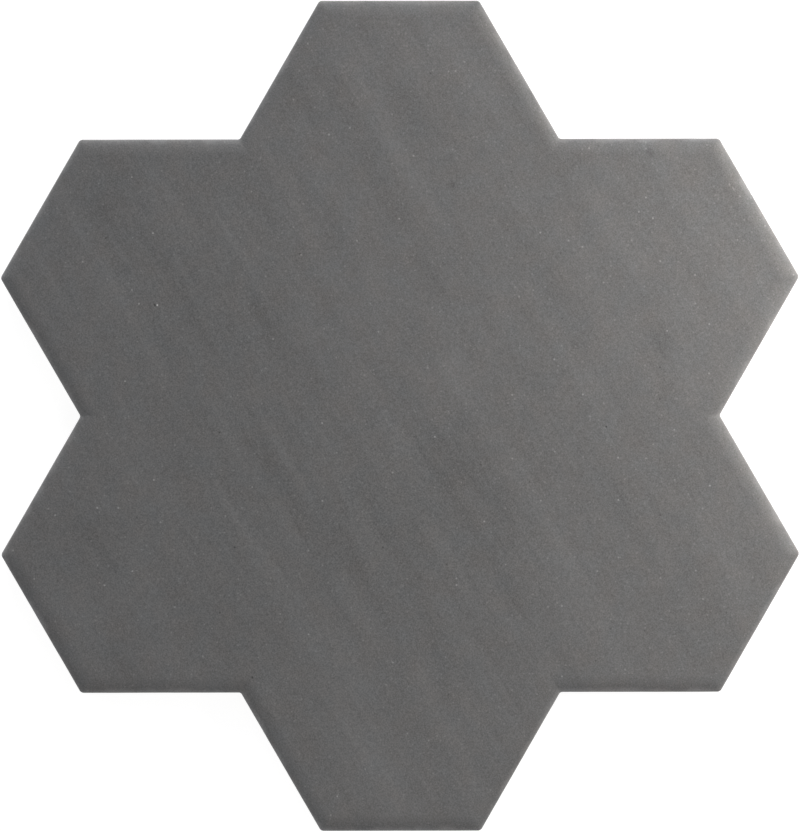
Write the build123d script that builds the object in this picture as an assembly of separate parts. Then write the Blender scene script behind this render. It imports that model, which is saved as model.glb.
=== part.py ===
"""Flower-shaped porcelain floor tile: one dry-pressed and fired slab, lying on its back.

The outline is that of seven equal hexagons, one in the middle and six round it, so the tile has
six lobes, twelve outer corners and six notches, and equal tiles nest with no other piece between.
The face is flat, and falls away in a soft cushioned edge to the side faces. Under the line where
the two halves of the press die met, the side tapers in to the bed. The bed is keyed with a
honeycomb of shallow pockets inside a plain border, so that the adhesive can grip it.

Millimetres. +Z is up, out of the face. The origin is the middle of the bed, and +Y points at
the middle of one lobe.
"""

from build123d import *

import os
from math import cos, radians, sin, sqrt, tan

# Slab
hexagon_edge = 50.0  # every one of the eighteen straight sides of the outline
thickness = 9.0  # bed to face
corner_radius = 1.5  # outer corners, in plan
notch_radius = 1.0  # inner corners between two lobes, in plan

# Edge section
cushion_width = 5.3  # from the side face in to where the face is flat
cushion_radius = 12.0  # the slow curve of the cushion
arris_radius = 0.8  # the quick turn from the cushion into the side face
taper_height = 3.5  # from the bed up to the press line
taper_inset = 1.0  # how far the bed lies inside the side face

# Keyed bed
key_pitch = 14.4  # between the middles of two neighbouring pockets
key_rib = 3.0  # between the mouths of two neighbouring pockets
key_depth = 0.7
key_wall_angle = 35.0  # degrees that a pocket's wall leans from upright
bed_border = 4.0  # plain band between the bed's edge and the nearest pocket

# How far a cutting section reaches past the slab. It stays short of the middle of a notch's arc.
overrun = notch_radius / 2


def polar(radius, degrees):
    """The point at this distance and direction from the middle of the tile."""
    return Vector(radius * cos(radians(degrees)), radius * sin(radians(degrees)))


def outline_corners():
    """The eighteen corners, anticlockwise: for each lobe its notch, then its two outer corners."""
    lobe_distance = sqrt(3) * hexagon_edge
    corners = []
    for direction in range(0, 360, 60):
        lobe_middle = polar(lobe_distance, direction + 30)
        corners.append(polar(2 * hexagon_edge, direction))
        corners.append(lobe_middle + polar(hexagon_edge, direction))
        corners.append(lobe_middle + polar(hexagon_edge, direction + 60))
    return corners


def vertices_at(corners, shape):
    """The vertices of the shape that lie on these corners."""
    return [vertex for vertex in shape.vertices() if any(Vector(vertex) == corner for corner in corners)]


def outline_path():
    """The outline with rounded notches and sharp outer corners, from the middle of a lobe's end."""
    corners = outline_corners()
    start = (corners[1] + corners[2]) / 2
    path = Wire(Polyline(start, *corners[2:], *corners[:2], start).edges())
    return path.fillet_2d(notch_radius, vertices_at(corners[::3], path))


def slab():
    """The plain slab, with every corner of its outline rounded."""
    corners = outline_corners()
    outer_corners = corners[1::3] + corners[2::3]
    outline = make_face(Polyline(*corners, close=True))
    outline = fillet(vertices_at(corners[::3], outline), notch_radius)
    outline = fillet(vertices_at(outer_corners, outline), corner_radius)
    return extrude(outline, thickness)


def cushion_section():
    """What the cushioned edge takes off the slab, as (distance in from the side face, height).

    Two arcs run into each other: the cushion leaves the flat face, and the arris turns down from
    the cushion into the side face.
    """
    cushion_middle = Vector(cushion_width, thickness - cushion_radius)
    rise = sqrt((cushion_radius - arris_radius) ** 2 - (cushion_width - arris_radius) ** 2)
    arris_middle = cushion_middle + Vector(arris_radius - cushion_width, rise)
    arcs_meet = cushion_middle + (arris_middle - cushion_middle).normalized() * cushion_radius
    face_end = Vector(cushion_width, thickness)
    side_end = arris_middle - Vector(arris_radius, 0)
    cushion = TangentArc(face_end, arcs_meet, tangent=(-1, 0))
    arris = TangentArc(arcs_meet, side_end, tangent=cushion % 1)
    outside = Polyline(
        side_end,
        side_end - Vector(overrun, 0),
        (-overrun, thickness + overrun),
        face_end + Vector(0, overrun),
        face_end,
    )
    return make_face(cushion + arris + outside)


def taper_section():
    """What the taper takes off the lower side, as (distance in from the side face, height)."""
    inset_at_overrun = taper_inset * (taper_height + overrun) / taper_height
    return make_face(
        Polyline(
            (0, taper_height),
            (-overrun, taper_height),
            (-overrun, -overrun),
            (inset_at_overrun, -overrun),
            close=True,
        )
    )


def run_round_outline(section):
    """Runs a section round the outline, mitred at the outer corners and turned at the notches."""
    path = outline_path()
    along = path % 0
    inwards = Vector(-along.Y, along.X)
    start = Plane(path @ 0, x_dir=inwards, z_dir=along)
    return sweep(start * section, path, transition=Transition.RIGHT)


def key_middles():
    """The middles of the pockets: a hexagonal grid, kept where a whole pocket clears the border."""
    path = outline_path()
    outline = make_face(path.edges()).face()
    pocket_reach = (key_pitch - key_rib) / sqrt(3)
    clear_of_side = taper_inset + bed_border + pocket_reach
    steps = int(3 * hexagon_edge / key_pitch) + 1
    middles = []
    for i in range(-steps, steps + 1):
        for j in range(-steps, steps + 1):
            middle = polar(key_pitch, 30) * i + polar(key_pitch, 90) * j
            if outline.is_inside(middle) and path.distance_to(middle) >= clear_of_side:
                middles.append(middle)
    return middles


def key_pocket():
    """One pocket at the origin, hexagonal, with leaning walls, open downwards."""
    mouth_apothem = (key_pitch - key_rib) / 2
    apothem_at_overrun = mouth_apothem + overrun * tan(radians(key_wall_angle))
    mouth = Pos(Z=-overrun) * RegularPolygon(apothem_at_overrun, 6, major_radius=False)
    return extrude(mouth, key_depth + overrun, taper=key_wall_angle)


def porcelain_tile():
    """The whole tile: the slab, its edge sections run round it, and its bed keyed."""
    pocket = key_pocket()
    tile = slab()
    tile -= run_round_outline(cushion_section())
    tile -= run_round_outline(taper_section())
    tile -= [Pos(middle) * pocket for middle in key_middles()]
    return tile


tile = porcelain_tile()
os.makedirs("parts", exist_ok=True)
export_step(tile, "parts/porcelain_tile.step")
print("porcelain_tile: volume", round(tile.volume), "mm3, faces", len(tile.faces()))
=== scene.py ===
# %% [markdown]
# # A flower-shaped porcelain floor tile
#
# The real thing is one piece: porcelain powder is pressed in a steel die, sprayed with a matt grey glaze and
# fired. Its outline is that of seven equal hexagons. This lesson models it with mesh operators, gives it its
# glaze with shader nodes, and lights it as a studio would for a picture taken from straight above.
#
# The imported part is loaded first. It fixes the size and the place of everything below, in metres, so nothing
# has to be fitted afterwards.

# %% Load the frame
from math import asin, cos, degrees, pi, radians, sin, sqrt, tan

import bmesh
import bpy
from mathutils import Matrix, Vector, noise
from mathutils.geometry import intersect_point_line


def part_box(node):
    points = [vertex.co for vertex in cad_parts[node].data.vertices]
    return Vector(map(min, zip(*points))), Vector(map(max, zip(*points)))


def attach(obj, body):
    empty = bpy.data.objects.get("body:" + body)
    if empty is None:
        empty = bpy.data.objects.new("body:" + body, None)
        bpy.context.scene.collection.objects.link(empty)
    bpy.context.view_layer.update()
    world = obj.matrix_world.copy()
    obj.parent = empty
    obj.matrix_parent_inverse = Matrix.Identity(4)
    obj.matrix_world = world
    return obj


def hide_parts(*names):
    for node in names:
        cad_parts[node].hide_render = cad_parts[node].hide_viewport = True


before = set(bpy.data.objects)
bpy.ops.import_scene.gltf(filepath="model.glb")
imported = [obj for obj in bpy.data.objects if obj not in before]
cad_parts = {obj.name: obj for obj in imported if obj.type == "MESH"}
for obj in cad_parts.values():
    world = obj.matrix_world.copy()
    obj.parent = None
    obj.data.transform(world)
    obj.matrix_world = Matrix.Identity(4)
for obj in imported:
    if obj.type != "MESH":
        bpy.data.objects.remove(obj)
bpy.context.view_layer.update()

# %% [markdown]
# ## Sizes
#
# Two sizes are read from the frame: the thickness, and the edge of a hexagon, because the tile is three
# hexagons tall from lobe to lobe. The small sizes of the edge and the back can't be read from a box, so they
# are repeated here, with the same values as in the part.

# %% Sizes of the tile
MM = 0.001
low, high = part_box("porcelain_tile")
thickness = high.z - low.z
hexagon_edge = (high.y - low.y) / (3 * sqrt(3))

corner_radius = 1.5 * MM
notch_radius = 1.0 * MM
cushion_width = 5.3 * MM
cushion_radius = 12.0 * MM
arris_radius = 0.8 * MM
taper_height = 3.5 * MM
taper_inset = 1.0 * MM
key_pitch = 14.4 * MM
key_rib = 3.0 * MM
key_depth = 0.7 * MM
key_wall_angle = radians(35)
bed_border = 4.0 * MM
weld = 0.001 * MM  # points closer than this count as one
print("hexagon edge", round(hexagon_edge / MM, 3), "mm, thickness", round(thickness / MM, 3), "mm")

# %% [markdown]
# ## Camera
#
# The photo looks straight down on the tile, so the camera needs no tilt: Blender's camera looks along its own
# -Z. The tile lies a tenth of a degree askew in the photo, and the camera is turned by as much. A long lens
# from far away keeps the sides of the tile out of sight, as in the photo. One side of the outline measures a
# known number of pixels there, which gives the scale of the whole picture. The sensor fits the long side of
# the picture, here its height.

# %% Camera
photo_width, photo_height = 800, 831
photo_pixels_per_edge = 160.0
photo_middle = Vector((400.0, 415.7))
photo_turn = radians(-0.11)
sensor_mm = 36.0
lens_mm = 200.0

metres_per_pixel = hexagon_edge / photo_pixels_per_edge
camera_data = bpy.data.cameras.new("photo_camera")
camera_data.sensor_width = sensor_mm
camera_data.lens = lens_mm
camera = bpy.data.objects.new("photo_camera", camera_data)
bpy.context.scene.collection.objects.link(camera)
camera.location = (
    (photo_width / 2 - photo_middle.x) * metres_per_pixel,
    (photo_middle.y - photo_height / 2) * metres_per_pixel,
    thickness + photo_height * metres_per_pixel * lens_mm / sensor_mm,
)
camera.rotation_euler.z = photo_turn
bpy.context.scene.camera = camera
print("camera", round(camera.location.z, 3), "m up, a pixel is", round(metres_per_pixel / MM, 4), "mm")

# %% [markdown]
# ## Seven hexagons make the outline
#
# The outline could be typed in as eighteen points, but it is easier to say what it is: seven hexagons side by
# side. `create_circle` with six segments is a hexagon, `remove_doubles` welds the corners that meet, and
# `dissolve_faces` takes the lines between the hexagons away. The same helper makes the honeycomb of the back
# later on. The face starts at the press line, the height where the two halves of the die met.

# %% Outline
def polar(radius, direction):
    """The point at this distance and direction, in degrees, from the middle of the tile."""
    return Vector((radius * cos(radians(direction)), radius * sin(radians(direction)), 0))


def add_hexagons(bm, middles, edge):
    """Hexagons with a corner towards +X, welded where they meet."""
    turn = Matrix.Rotation(radians(30), 4, "Z")
    for middle in middles:
        place = Matrix.Translation(middle) @ turn
        bmesh.ops.create_circle(bm, cap_ends=True, segments=6, radius=edge, matrix=place)
    bmesh.ops.remove_doubles(bm, verts=bm.verts[:], dist=weld)


flower_middles = [Vector()] + [polar(sqrt(3) * hexagon_edge, 30 + 60 * lobe) for lobe in range(6)]
slab = bmesh.new()
add_hexagons(slab, flower_middles, hexagon_edge)
bmesh.ops.dissolve_faces(slab, faces=slab.faces[:])
bmesh.ops.translate(slab, verts=slab.verts[:], vec=(0, 0, taper_height))
outline_sides = [tuple(Vector((v.co.x, v.co.y, 0)) for v in edge.verts) for edge in slab.edges]
print("outline with", len(slab.verts), "corners in", len(slab.faces), "face")

# %% [markdown]
# ## The side and the cushioned edge
#
# From the side, the edge is an upright wall, a quick turn called the arris, and a slow curve up to the flat
# face, the cushion. A bevel gives only one arc. So the wall is extruded, and then the face is inset again and
# again: each step goes a little inwards and a little up, along two arcs that run into each other. Even offset
# keeps each step parallel to the outline in the notches too. The last inset makes the tapered lower side.

# %% Wall, cushion and taper
arris_steps = 8
cushion_steps = 12


def edge_section():
    """(distance in from the side, height) from the top of the wall to the flat face."""
    meet = asin((cushion_width - arris_radius) / (cushion_radius - arris_radius))
    cushion_middle = thickness - cushion_radius
    arris_middle = cushion_middle + (cushion_radius - arris_radius) * cos(meet)
    points = []
    for step in range(arris_steps + 1):
        lean = pi / 2 + (meet - pi / 2) * step / arris_steps
        points.append((arris_radius * (1 - sin(lean)), arris_middle + arris_radius * cos(lean)))
    for step in range(1, cushion_steps + 1):
        lean = meet * (1 - step / cushion_steps)
        inwards = cushion_width - cushion_radius * sin(lean)
        points.append((inwards, cushion_middle + cushion_radius * cos(lean)))
    return points


def step_in(bm, face, inwards, outwards):
    """Insets a face, and lifts it along its own normal."""
    bmesh.ops.inset_region(
        bm, faces=[face], thickness=inwards, depth=outwards, use_even_offset=True, use_boundary=True
    )


section = edge_section()
wall = bmesh.ops.extrude_face_region(slab, geom=slab.faces[:])["geom"]
wall_top = [part for part in wall if isinstance(part, bmesh.types.BMVert)]
bmesh.ops.translate(slab, verts=wall_top, vec=(0, 0, section[0][1] - taper_height))
bmesh.ops.recalc_face_normals(slab, faces=slab.faces[:])
flat_face = max(slab.faces, key=lambda face: face.calc_center_median().z)
bed_face = min(slab.faces, key=lambda face: face.calc_center_median().z)
for (inner_from, height_from), (inner_to, height_to) in zip(section, section[1:]):
    step_in(slab, flat_face, inner_to - inner_from, height_to - height_from)
step_in(slab, bed_face, taper_inset, taper_height)
heights = [v.co.z / MM for v in slab.verts]
print("slab from", round(min(heights), 3), "to", round(max(heights), 3), "mm,", len(slab.faces), "faces")

# %% [markdown]
# ## Rounded corners
#
# The die's corners are rounded too, the outer ones a little more than the notches. The edges to round are
# easy to find, because every step of the section lies level: what isn't level runs up a corner. One `bevel`
# for each of the two kinds rounds them all the way from the bed over the cushion to the face. With an
# absolute offset and `loop_slide` the new corners slide along the level edges, so the section stays as it
# is. The offset is the length from the corner to where the arc starts, which follows from the radius.

# %% Corners
corner_segments = 6


def is_level(edge):
    return abs(edge.verts[0].co.z - edge.verts[1].co.z) < weld


def round_corners(bm, edges, radius):
    """Rounds edges where two sides meet at 120 degrees."""
    bmesh.ops.bevel(
        bm,
        geom=edges,
        offset=radius * tan(radians(30)),
        offset_type="ABSOLUTE",
        loop_slide=True,
        affect="EDGES",
        segments=corner_segments,
        profile=0.5,
        material=-1,
    )


corner_edges = [edge for edge in slab.edges if not is_level(edge)]
notch_distance = 2 * hexagon_edge
outer_distance = sqrt(7) * hexagon_edge
between = (notch_distance + outer_distance) / 2
notch_edges = [edge for edge in corner_edges if edge.verts[0].co.xy.length < between]
outer_edges = [edge for edge in corner_edges if edge.verts[0].co.xy.length >= between]
round_corners(slab, outer_edges, corner_radius)
round_corners(slab, notch_edges, notch_radius)
print("rounded", len(outer_edges), "outer and", len(notch_edges), "inner corner edges")

# %% [markdown]
# ## A finer mesh to work on
#
# A fired edge is never quite straight, so the long strips are cut into short ones with `subdivide_edges`, and
# the flat face gets a grid from `bisect_plane`. Each cut hands on the parts that it made, which go into the
# next cut. Before anything is bent, the edges that stay crisp on the real tile, the press line and the rim of
# the bed, are marked sharp: all the other edges are shaded smooth.

# %% Strips and grid
strip_length = 1.0 * MM
grid_step = 1.5 * MM
long_edge = 10 * MM
crisp_angle = radians(14)

long_edges = [edge for edge in slab.edges if edge.calc_length() > long_edge]
strip_cuts = round(hexagon_edge / strip_length) - 1
bmesh.ops.subdivide_edges(slab, edges=long_edges, cuts=strip_cuts, use_grid_fill=True)


def cut_grid(bm, geometry, step):
    """Cuts faces into squares of this size."""
    reach = int(3 * hexagon_edge / step)
    for direction in (Vector((1, 0, 0)), Vector((0, 1, 0))):
        for place in range(-reach, reach):
            geometry = bmesh.ops.bisect_plane(
                bm, geom=geometry, dist=weld, plane_co=direction * (place + 0.5) * step, plane_no=direction
            )["geom"]


flat_faces = [face for face in slab.faces if all(v.co.z > thickness - weld for v in face.verts)]
flat_parts = {part for face in flat_faces for part in (face, *face.edges, *face.verts)}
cut_grid(slab, list(flat_parts), grid_step)
for face in slab.faces:
    face.smooth = True
for edge in slab.edges:
    edge.smooth = edge.calc_face_angle(0) < crisp_angle
crisp = sum(not edge.smooth for edge in slab.edges)
print("slab has", len(slab.faces), "faces and", crisp, "crisp edges")

# %% [markdown]
# ## The keyed back
#
# Under the tile, a honeycomb of shallow pockets lets the adhesive grip. The pockets could be cut one by one,
# but a honeycomb is a sheet of hexagons, which the helper above already makes. `inset_individual` leaves a
# rib round each of them, a second inset sinks a pocket with leaning walls, and a small bevel softens the rims
# as pressing and firing do. Pockets that would come too near the side are left out, as in the part, so the
# first cell works out which of them have room.

# %% Places of the pockets
def distance_to_side(point):
    """From a point inside the outline to the nearest of its sides."""
    distances = []
    for start, end in outline_sides:
        along = intersect_point_line(point, start, end)[1]
        nearest = start.lerp(end, min(max(along, 0), 1))
        distances.append((point - nearest).length)
    return min(distances)


def is_inside(point):
    """Whether one of the seven hexagons holds the point."""
    reach = hexagon_edge * cos(radians(30))
    facings = [polar(1, 30 + 60 * side) for side in range(6)]
    for middle in flower_middles:
        if all((point - middle).dot(facing) < reach + weld for facing in facings):
            return True
    return False


def places_of_pockets():
    """The points of a hexagonal grid round which a whole pocket clears the border."""
    clear_of_side = taper_inset + bed_border + (key_pitch - key_rib) / sqrt(3)
    steps = int(3 * hexagon_edge / key_pitch) + 1
    middles = []
    for i in range(-steps, steps + 1):
        for j in range(-steps, steps + 1):
            middle = polar(key_pitch, 30) * i + polar(key_pitch, 90) * j
            if is_inside(middle) and distance_to_side(middle) > clear_of_side - weld:
                middles.append(middle)
    return middles


pocket_middles = places_of_pockets()
print("room for", len(pocket_middles), "pockets")

# %% Honeycomb
rim_radius = 0.25 * MM
rim_segments = 3


def bevel_level(bm, height):
    """Softens the bent edges that lie at this height."""
    level = [edge for edge in bm.edges if all(abs(v.co.z - height) < weld for v in edge.verts)]
    bmesh.ops.bevel(
        bm,
        geom=[edge for edge in level if edge.calc_face_angle(0) > crisp_angle],
        offset=rim_radius,
        offset_type="OFFSET",
        affect="EDGES",
        segments=rim_segments,
        profile=0.5,
        material=-1,
    )


honeycomb = bmesh.new()
add_hexagons(honeycomb, pocket_middles, key_pitch / sqrt(3))
bmesh.ops.reverse_faces(honeycomb, faces=honeycomb.faces[:])
cells = honeycomb.faces[:]
bmesh.ops.inset_individual(honeycomb, faces=cells, thickness=key_rib / 2, use_even_offset=True)
bmesh.ops.inset_individual(
    honeycomb, faces=cells, thickness=key_depth * tan(key_wall_angle), depth=-key_depth, use_even_offset=True
)
bevel_level(honeycomb, 0)
bevel_level(honeycomb, key_depth)
for face in honeycomb.faces:
    face.smooth = True
print("honeycomb of", len(cells), "pockets,", len(honeycomb.faces), "faces")

# %% [markdown]
# ## Joining the back to the slab
#
# The bed is still one plain face. It is deleted, and the honeycomb is copied in through a mesh. That leaves a
# band with two rims, the bed's and the honeycomb's, which `triangle_fill` closes: it fills between loops of
# edges and leaves the inner loop open. Afterwards every edge has two faces, so the tile is closed.

# %% Join
bed_faces = [face for face in slab.faces if all(abs(v.co.z) < weld for v in face.verts)]
bmesh.ops.delete(slab, geom=bed_faces, context="FACES_ONLY")
honeycomb_mesh = bpy.data.meshes.new("honeycomb")
honeycomb.to_mesh(honeycomb_mesh)
honeycomb.free()
slab.from_mesh(honeycomb_mesh)
bpy.data.meshes.remove(honeycomb_mesh)
rims = [edge for edge in slab.edges if edge.is_boundary]
bmesh.ops.triangle_fill(slab, edges=rims, use_beauty=True, normal=(0, 0, -1))
open_edges = [edge for edge in slab.edges if len(edge.link_faces) != 2]
print("joined:", len(slab.faces), "faces,", len(open_edges), "open edges")

# %% [markdown]
# ## Firing leaves the surface a little uneven
#
# A computer's flat face catches the light too evenly. In the kiln the face sinks here and there by a few
# hundredths of a millimetre, and the arris is never quite straight. A Displace modifier could do it, but with
# `mathutils.noise` each point is simply moved inwards along its normal, so the tile can't grow past its box.
# The bed and the tapered side stay true, because the tile lies on them.

# %% Uneven surface
swell_depth = 0.05 * MM
swell_length = 34 * MM
waver_depth = 0.05 * MM
waver_length = 5 * MM
waver_top = section[arris_steps + 3][1]  # a little way up the cushion


def share(point, length):
    """A smooth random value from 0 to 1 that changes over this length."""
    return (1 + noise.noise(point / length)) / 2


slab.normal_update()
for v in slab.verts:
    if v.co.z > taper_height + weld:
        sunk = swell_depth * share(v.co, swell_length)
        if v.co.z < waver_top:
            sunk += waver_depth * share(v.co, waver_length)
        v.co -= v.normal * sunk
print("surface moved inwards by up to", round((swell_depth + waver_depth) / MM, 2), "mm")

# %% [markdown]
# ## The tile as an object
#
# The finished mesh becomes one object at the origin, with its place in its points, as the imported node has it.
# It rides on the body of the part, and it stands for the node `porcelain_tile`, which is hidden.

# %% Object
tile_mesh = bpy.data.meshes.new("glazed_tile")
slab.to_mesh(tile_mesh)
slab.free()
tile = bpy.data.objects.new("glazed_tile", tile_mesh)
bpy.context.scene.collection.objects.link(tile)
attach(tile, "root")
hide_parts("porcelain_tile")
triangles = sum(len(polygon.vertices) - 2 for polygon in tile_mesh.polygons)
print("glazed_tile:", len(tile_mesh.vertices), "points,", triangles, "triangles")

# %% [markdown]
# ## Writing shader maths as sums
#
# A material is a tree of nodes. Wiring dozens of Math nodes by hand is hard to read, so a small class stands
# for the output of a node: adding or multiplying two of them adds the Math node that does it. Every other
# node comes from one method, which sets the node's own settings first and then its sockets.

# %% Shader helper
class Signal:
    """The output of a shader node. Sums and products of signals and numbers add Math nodes."""

    def __init__(self, finish, socket):
        self.finish = finish
        self.socket = socket

    def math(self, operation, first, second):
        return self.finish.node("ShaderNodeMath", {"operation": operation}, {0: first, 1: second})

    def __add__(self, other):
        return self.math("ADD", self, other)

    def __radd__(self, other):
        return self.math("ADD", other, self)

    def __sub__(self, other):
        return self.math("SUBTRACT", self, other)

    def __rsub__(self, other):
        return self.math("SUBTRACT", other, self)

    def __mul__(self, other):
        return self.math("MULTIPLY", self, other)

    def __rmul__(self, other):
        return self.math("MULTIPLY", other, self)

    def __gt__(self, other):
        return self.math("GREATER_THAN", self, other)


class Finish:
    """A material and its node tree."""

    def __init__(self, name):
        self.material = bpy.data.materials.new(name)
        self.material.use_nodes = True
        self.tree = self.material.node_tree
        self.tree.nodes.clear()
        self.place = self.node("ShaderNodeTexCoord", output="Object")

    def node(self, kind, settings=None, sockets=None, output=0):
        """Adds a node with these settings, values and links, and gives one of its outputs."""
        made = self.tree.nodes.new(kind)
        for name, value in (settings or {}).items():
            setattr(made, name, value)
        for name, value in (sockets or {}).items():
            socket = self.find(made.inputs, name)
            if isinstance(value, Signal):
                self.tree.links.new(value.socket, socket)
            else:
                socket.default_value = value
        return Signal(self, self.find(made.outputs, output))

    def find(self, sockets, name):
        """A socket by its number or its identifier. Several sockets of a Mix node share one name."""
        if isinstance(name, int):
            return sockets[name]
        return next(socket for socket in sockets if socket.identifier == name)

    def show(self, shader):
        """Makes this shader the surface of the material."""
        output = self.tree.nodes.new("ShaderNodeOutputMaterial")
        self.tree.links.new(shader.socket, output.inputs["Surface"])


print("shader helper ready")

# %% [markdown]
# ## Patterns that the finishes share
#
# Each pattern reads Object coordinates, in metres, so its size is a real size. A Mapping node of type Texture
# turns the coordinates and divides them by a length in each direction: noise that is read there comes out in
# streaks of that length and width. Noise is kept around zero, so that patterns can simply be added up. Specks
# come from a Voronoi texture, which splits the surface into cells: each cell may hold one dot.

# %% Noise in streaks
streak_turn = radians(-60)


def turned_place(finish, place, size, middle=(0, 0, 0)):
    """Coordinates along and across the streaks, from this middle, as multiples of a size."""
    return finish.node(
        "ShaderNodeMapping",
        {"vector_type": "TEXTURE"},
        {"Vector": place, "Location": middle, "Rotation": (0, 0, streak_turn), "Scale": size},
    )


def noise_pattern(finish, length, width=None, detail=2.0):
    """Noise around zero. With a width it lies in streaks of that length and width."""
    place = turned_place(finish, finish.place, (length, width or length, length))
    return finish.node("ShaderNodeTexNoise", {}, {"Vector": place, "Scale": 1.0, "Detail": detail}) - 0.5


def ease(finish, value, start, end):
    """Goes smoothly from 0 at start to 1 at end."""
    return finish.node(
        "ShaderNodeMapRange",
        {"interpolation_type": "SMOOTHSTEP"},
        {"Value": value, "From Min": start, "From Max": end},
    )


print("streaks run at", round(degrees(streak_turn)), "degrees")

# %% Specks and colours
dot_core = 0.3  # the share of a dot's radius that has its full strength


def speckle(finish, spacing, radius, kept, dimensions="2D"):
    """Dots in some of the cells of a random pattern. Strong ones are rare. 2D cells are seen from above."""
    kind = {"voronoi_dimensions": dimensions}
    cells = {"Vector": finish.place, "Scale": 1 / spacing}
    near = finish.node("ShaderNodeTexVoronoi", kind, cells, output="Distance")
    dice = finish.node("ShaderNodeTexVoronoi", kind, cells, output="Color")
    chosen = finish.node("ShaderNodeSeparateColor", {}, {"Color": dice}, output="Red") > 1 - kept
    strength = finish.node("ShaderNodeSeparateColor", {}, {"Color": dice}, output="Green")
    rare = strength * strength
    return (1 - ease(finish, near, dot_core * radius / spacing, radius / spacing)) * chosen * rare * rare


def mix_colours(finish, factor, first, second):
    """From the first colour at a factor of 0 to the second at 1."""
    return finish.node(
        "ShaderNodeMix",
        {"data_type": "RGBA"},
        {"Factor_Float": factor, "A_Color": first, "B_Color": second},
        output="Result_Color",
    )


def scale_colour(finish, colour, factor):
    """A colour times a number that changes over the surface."""
    return finish.node(
        "ShaderNodeVectorMath", {"operation": "SCALE"}, {"Vector": colour, "Scale": factor}, output="Vector"
    )


print("dots fade from", dot_core, "of their radius")

# %% [markdown]
# ## Marks that stand out
#
# Noise gives the right kind of streaks, but not in the right places. Those that catch the eye are placed one by
# one: long soft marks where the spray was a little thicker or thinner, two wide shades, a few spots and specks,
# and two small pits darkened with painted shade, one with a painted highlight, a glint, on its rim. A texture
# could be painted instead, but a named row for each mark stays easy to change. A row gives the mark's pixel in
# the photo, across and down, and then its length and its width in millimetres.

# %% Places of the marks
light_marks = {
    "long streak of the upper lobe": (400, 155, 72, 8),
    "pale edge of the upper lobe": (480, 82, 46, 9),
    "haze at the end of the upper lobe": (405, 40, 42, 44),
    "streak of the upper left lobe": (120, 295, 68, 7),
    "haze right of it": (172, 212, 34, 12),
    "thin streak beside it": (240, 252, 40, 2.5),
    "patch under the left notch": (308, 340, 28, 9),
    "pale patch left of the middle": (378, 294, 26, 9),
    "patch in the middle": (458, 380, 24, 12),
    "thin streak left of the middle": (292, 468, 56, 4),
    "long streak right of the middle": (545, 520, 92, 9),
    "short streak under the middle": (446, 556, 34, 8),
    "streak towards the lower lobe": (362, 620, 36, 9),
    "streak of the lower left": (250, 540, 44, 8),
    "corner of the lower left lobe": (80, 608, 30, 14),
    "streak of the lower lobe": (374, 755, 42, 10),
    "streak beside the lower right notch": (470, 706, 26, 6),
    "patch of the upper right lobe": (612, 232, 40, 10),
    "smear of the upper right lobe": (690, 385, 27, 11),
    "streak of the lower right lobe": (722, 540, 38, 8),
}
dark_marks = {
    "dark streak of the upper lobe": (412, 92, 44, 11),
    "patch beside the long streak": (302, 100, 24, 9),
    "dark patch over the middle": (428, 275, 20, 8),
    "dark streak of the upper left lobe": (186, 302, 46, 7),
    "dark corner of the upper left lobe": (106, 200, 26, 12),
    "short dark streak under the thin one": (264, 320, 22, 5),
    "dark patch of the left": (268, 462, 36, 10),
    "dark patch under the middle": (455, 464, 26, 12),
    "wide shade under the middle": (440, 555, 105, 62),
    "dark streak right of the middle": (602, 485, 56, 15),
    "patch over the right notch": (540, 384, 30, 10),
    "shade beside the smear": (661, 342, 16, 7),
    "patch over the lower right notch": (512, 655, 34, 14),
    "patch of the lower left lobe": (90, 542, 26, 18),
}
wide_shades = {
    "from the left notch to the lower lobe": (278, 510, 160, 85),
    "round the middle": (470, 470, 60, 50),
}
dark_spots = {
    "spot of the upper lobe": (452, 185, 3.4, 3.0),
    "spot of the upper right lobe": (650, 152, 4.0, 3.0),
    "spot under the notch": (575, 346, 3.0, 2.4),
}
pale_specks = {
    "start of the scuff at the upper right edge": (730, 185, 0.9, 0.6),
    "middle of the scuff": (734, 189.5, 1.5, 0.5),
    "end of the scuff": (740.5, 197, 0.8, 0.7),
    "speck beside it": (757, 180, 0.7, 0.6),
    "speck at the upper edge": (465, 62, 0.8, 0.7),
    "speck at the lower edge": (330, 815, 0.8, 0.7),
}
# Each pit is sunk a little by the bump, and darkened in colour with painted shade in its hollow.
pits = {
    "pinhole of the upper left lobe": (154.6, 305.2, 1.0, 0.9),
    "pit right of the middle": (606, 427.5, 0.8, 0.7),
}
# A painted highlight: the glint on the rim of the pinhole is a bright patch of colour, not a reflection.
painted_glint_of_pinhole = (157.6, 304.6, 0.6, 0.55)
print(len(light_marks), "light and", len(dark_marks), "dark marks,", len(dark_spots), "spots")

# %% [markdown]
# ## A mark as a soft ellipse
#
# A Mapping node moves the coordinates to the middle of a mark, turns them along the streaks and divides them
# by half its length and half its width. The distance from there is 1 on the rim of the ellipse, whatever its
# size. Eased off, it gives a soft mark, and with streaky noise added to it first, a frayed one.

# %% Soft marks
mark_core = 0.2  # where a mark starts to fade, as a share of the way to its rim
mark_end = 1.3  # where it has faded out


def on_face(x, y):
    """The point of the face at this pixel of the photo."""
    return ((x - photo_middle.x) * metres_per_pixel, (photo_middle.y - y) * metres_per_pixel, thickness)


def soft_mark(finish, mark, fray=0):
    """1 in the middle of a mark, and 0 outside it."""
    x, y, length, width = mark
    turned = turned_place(finish, finish.place, (length * MM / 2, width * MM / 2, 1), on_face(x, y))
    reach = finish.node("ShaderNodeVectorMath", {"operation": "LENGTH"}, {"Vector": turned}, output="Value")
    return 1 - ease(finish, reach + fray, mark_core, mark_end)


def sum_of_marks(finish, marks, fray=0):
    """All the marks of one kind, added up."""
    total = 0
    for mark in marks.values():
        total = soft_mark(finish, mark, fray) + total
    return total


print("marks fade out at", mark_end, "times their own size")

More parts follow.
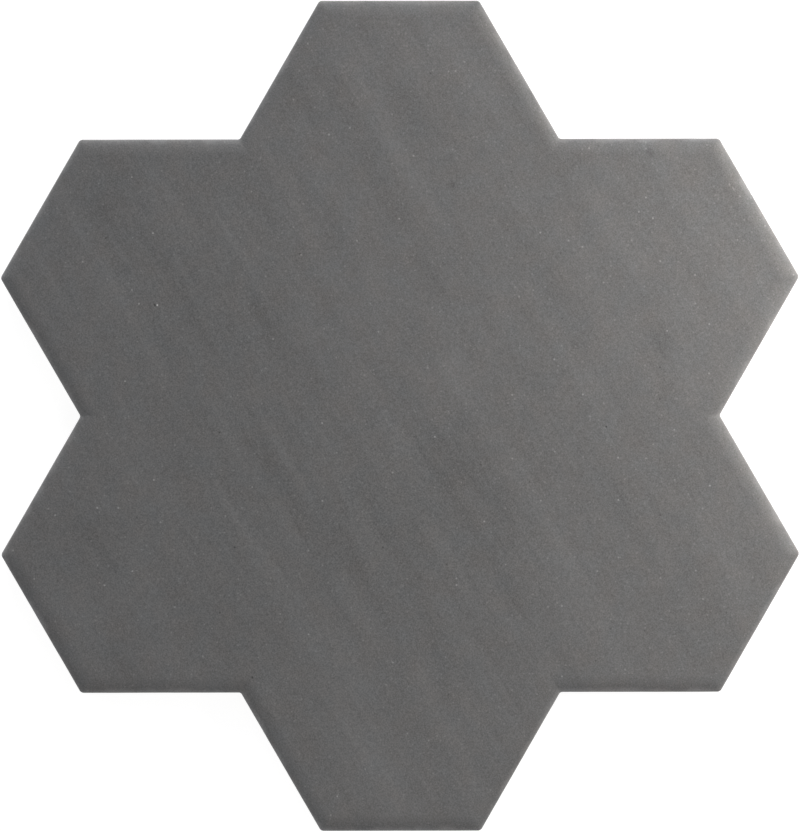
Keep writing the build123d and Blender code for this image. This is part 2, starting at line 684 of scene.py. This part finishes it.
# %% [markdown]
# ## The tone of the glaze
#
# Seen from above the glaze is a mid grey with a fine grain, streaks, soft blotches and pale specks. All of it
# is tone: one sum around 1 that the grey is multiplied by. The spray ran one way, so most of the noise lies
# in streaks. The marks and specks are flat patterns seen from above, which would draw lines down the side,
# so they are kept to the top.

# %% Tone of the glaze
grain_size = 0.42 * MM
grain_strength = 1.1
# Strength, length, width, detail
spray_patterns = {
    "broad bands": (0.16, 140 * MM, 15 * MM, 1),
    "streaks": (0.22, 60 * MM, 7 * MM, 3),
    "fine lines": (0.18, 14 * MM, 1.2 * MM, 2),
    "blotches": (0.16, 9 * MM, 9 * MM, 3),
}
# Strength, spacing, radius, share of the places that have one
speck_patterns = {
    "pale specks": (1.25, 2.2 * MM, 0.42 * MM, 0.065),
    "pale dust": (0.45, 1.3 * MM, 0.4 * MM, 0.4),
    "dark specks": (-0.5, 5.1 * MM, 0.45 * MM, 0.16),
}
fray_strength, fray_length, fray_width = 1.3, 24 * MM, 1.8 * MM
streak_strength = 0.08
shade_strength = 0.06
pale_speck_strength = 0.7
dark_spot_strength = 0.22
# How much lighter the painted glint on the pinhole's rim makes the glaze.
painted_glint_strength = 3.5


def glaze_tone(finish, grain, on_top):
    """How much lighter or darker than its grey the glaze is, around 1. Single marks lie on top only."""
    tone = 1 + grain_strength * grain
    for strength, length, width, detail in spray_patterns.values():
        tone = tone + strength * noise_pattern(finish, length, width, detail)
    fray = fray_strength * noise_pattern(finish, fray_length, fray_width)
    streaks = sum_of_marks(finish, light_marks, fray) - sum_of_marks(finish, dark_marks, fray)
    marks = streak_strength * streaks - shade_strength * sum_of_marks(finish, wide_shades)
    marks = marks + pale_speck_strength * sum_of_marks(finish, pale_specks)
    marks = marks - dark_spot_strength * sum_of_marks(finish, dark_spots)
    # Painted highlight: the glint on the pinhole's rim is added to the colour.
    marks = marks + painted_glint_strength * soft_mark(finish, painted_glint_of_pinhole)
    for strength, spacing, radius, kept in speck_patterns.values():
        marks = marks + strength * speckle(finish, spacing, radius, kept)
    return tone + on_top * marks


print(len(spray_patterns), "patterns of the spray and", len(speck_patterns), "of specks")

# %% [markdown]
# ## Matt glaze on a porcelain body
#
# The spray reaches only part of the way down the side. On the arris the glaze is thin and looks paler. Below
# it the glaze is thick again, and then it stops and shows the body: unglazed porcelain, lighter and warmer,
# with a grain and pores of its own. Two materials could be given to two sets of faces, but the borders are
# ragged, so one material mixes both by height, with noise added to the height. Broad noise also turns the
# grey a little warmer or cooler. A Bump node gives the feel of the surface, far finer than the mesh.

# %% Colours and heights
glaze_grey = 0.1195
cool_grey = (0.975 * glaze_grey, glaze_grey, 1.017 * glaze_grey, 1)
warm_grey = (1.025 * glaze_grey, glaze_grey, 0.983 * glaze_grey, 1)
even_tint, tint_strength, tint_size = 0.5, 2.0, 8 * MM
body_colour = (0.30, 0.287, 0.268)

ragged_depth, ragged_size = 1.4 * MM, 7 * MM
body_to_glaze = (4.6 * MM, 5.4 * MM)
glaze_to_arris = (6.9 * MM, 7.6 * MM)
arris_to_face = (7.55 * MM, 8.45 * MM)
thin_glaze_lift = 0.7
print("the glaze ends about", round(sum(body_to_glaze) / 2 / MM, 1), "mm above the bed")

# %% Glaze and body
# Strength, size, detail
body_patterns = {
    "grain": (0.6, 0.7 * MM, 2),
    "clouds": (0.4, 18 * MM, 4),
}
pore_strength, pore_spacing, pore_radius, pores_kept = 0.7, 1.1 * MM, 0.4 * MM, 0.3

# How much the painted shade in the pits darkens the glaze.
painted_pit_shade = 0.5
pit_depth = 0.2 * MM
grain_relief = 0.010 * MM
ripple_relief, ripple_size = 0.014 * MM, 1.6 * MM
glaze_roughness, body_roughness, grain_roughness = 0.58, 0.78, 0.2


def body_tone(finish):
    """How much lighter or darker than its own colour the bare body is, around 1."""
    tone = 1 - pore_strength * speckle(finish, pore_spacing, pore_radius, pores_kept, "3D")
    for strength, size, detail in body_patterns.values():
        tone = tone + strength * noise_pattern(finish, size, detail=detail)
    return tone


def matt_glaze():
    """The glaze of the face, the thin glaze of the arris and the bare body, in one material."""
    finish = Finish("matt_grey_glaze")
    grain = noise_pattern(finish, grain_size, detail=1)
    height = finish.node("ShaderNodeSeparateXYZ", {}, {"Vector": finish.place}, output="Z")
    ragged = height + ragged_depth * noise_pattern(finish, ragged_size, detail=4)
    on_top = ease(finish, ragged, *arris_to_face)
    thin = ease(finish, ragged, *glaze_to_arris) - on_top
    bare = 1 - ease(finish, ragged, *body_to_glaze)
    pit = sum_of_marks(finish, pits)

    tint = even_tint + tint_strength * noise_pattern(finish, tint_size)
    # Painted shade: the pits are darkened in colour, as their hollows would be in shade.
    tone = glaze_tone(finish, grain, on_top) + thin_glaze_lift * thin - painted_pit_shade * pit
    glaze = scale_colour(finish, mix_colours(finish, tint, cool_grey, warm_grey), tone)
    body = scale_colour(finish, body_colour, body_tone(finish))
    relief = grain_relief * grain + ripple_relief * noise_pattern(finish, ripple_size) - pit_depth * pit
    normal = finish.node("ShaderNodeBump", {}, {"Height": relief, "Distance": 1.0, "Strength": 1.0})
    roughness = glaze_roughness + grain_roughness * grain + (body_roughness - glaze_roughness) * bare
    shader = finish.node(
        "ShaderNodeBsdfPrincipled",
        {},
        {"Base Color": mix_colours(finish, bare, glaze, body), "Roughness": roughness, "Normal": normal},
    )
    finish.show(shader)
    return finish.material


tile_mesh.materials.append(matt_glaze())
print("material with", len(tile_mesh.materials[0].node_tree.nodes), "nodes")

# %% [markdown]
# ## Floor
#
# The photo shows the tile on plain white. The floor is a pale table lit from below: it glows softly, so the
# shadow beside the tile stays faint, as on a light box.

# %% Floor
floor_radius = 3.0
floor_segments = 96
floor_gap = 0.05 * MM
table_colour = (0.3, 0.3, 0.3, 1)
table_roughness = 0.9
glow_colour = (1, 1, 1, 1)
glow_strength = 0.86

floor_bm = bmesh.new()
bmesh.ops.create_circle(floor_bm, cap_ends=True, segments=floor_segments, radius=floor_radius)
bmesh.ops.translate(floor_bm, verts=floor_bm.verts[:], vec=(0, 0, -floor_gap))
floor_mesh = bpy.data.meshes.new("studio_floor")
floor_bm.to_mesh(floor_mesh)
floor_bm.free()
floor = bpy.data.objects.new("studio_floor", floor_mesh)
bpy.context.scene.collection.objects.link(floor)
floor_finish = Finish("pale_lit_table")
floor_shader = floor_finish.node(
    "ShaderNodeBsdfPrincipled",
    {},
    {
        "Base Color": table_colour,
        "Roughness": table_roughness,
        "Emission Color": glow_colour,
        "Emission Strength": glow_strength,
    },
)
floor_finish.show(floor_shader)
floor_mesh.materials.append(floor_finish.material)
print("floor", 2 * floor_radius, "m across")

# %% [markdown]
# ## Light
#
# The right side of the face is lighter and a little warmer in the photo, the edges that face up are light and
# those that face down to the left are dark. A wide warm lamp close to the right gives the first, and three
# others round the tile the rest. An even sky fills the shadows. One lamp with a gradient in front of it could
# do the same, but separate lamps are easier to balance. They are hidden from the camera, so that they don't
# get in the way of other views.

# %% Lamps and sky
warm_white = (0.985, 0.940, 0.893)
cool_white = (0.992, 0.996, 1.020)
sky_strength = 0.36
# Direction and elevation in degrees, distance, width and height in metres, watts, colour
softboxes = {
    "right_softbox": (20, 25, 0.28, (0.36, 0.16), 0.88, warm_white),
    "upper_softbox": (95, 20, 1.2, (0.6, 0.6), 7.8, cool_white),
    "left_softbox": (155, 12, 1.2, (0.5, 0.5), 2.5, cool_white),
    "lower_softbox": (-80, 50, 0.33, (0.2, 0.2), 0.125, warm_white),
}


def add_softbox(name, direction, elevation, distance, size, watts, colour):
    """A lamp of this width and height that looks at the middle of the tile."""
    away = polar(cos(radians(elevation)), direction) + Vector((0, 0, sin(radians(elevation))))
    lamp_data = bpy.data.lights.new(name, "AREA")
    lamp_data.shape = "RECTANGLE"
    lamp_data.size, lamp_data.size_y = size
    lamp_data.energy = watts
    lamp_data.color = colour
    lamp = bpy.data.objects.new(name, lamp_data)
    lamp.location = away * distance
    lamp.rotation_euler = away.to_track_quat("Z", "Y").to_euler()
    lamp.visible_camera = False
    bpy.context.scene.collection.objects.link(lamp)


for name, row in softboxes.items():
    add_softbox(name, *row)
sky = bpy.data.worlds.new("studio_sky")
sky.use_nodes = True
sky.node_tree.nodes["Background"].inputs["Color"].default_value = (*cool_white, 1)
sky.node_tree.nodes["Background"].inputs["Strength"].default_value = sky_strength
bpy.context.scene.world = sky
bpy.context.scene.view_settings.view_transform = "Standard"
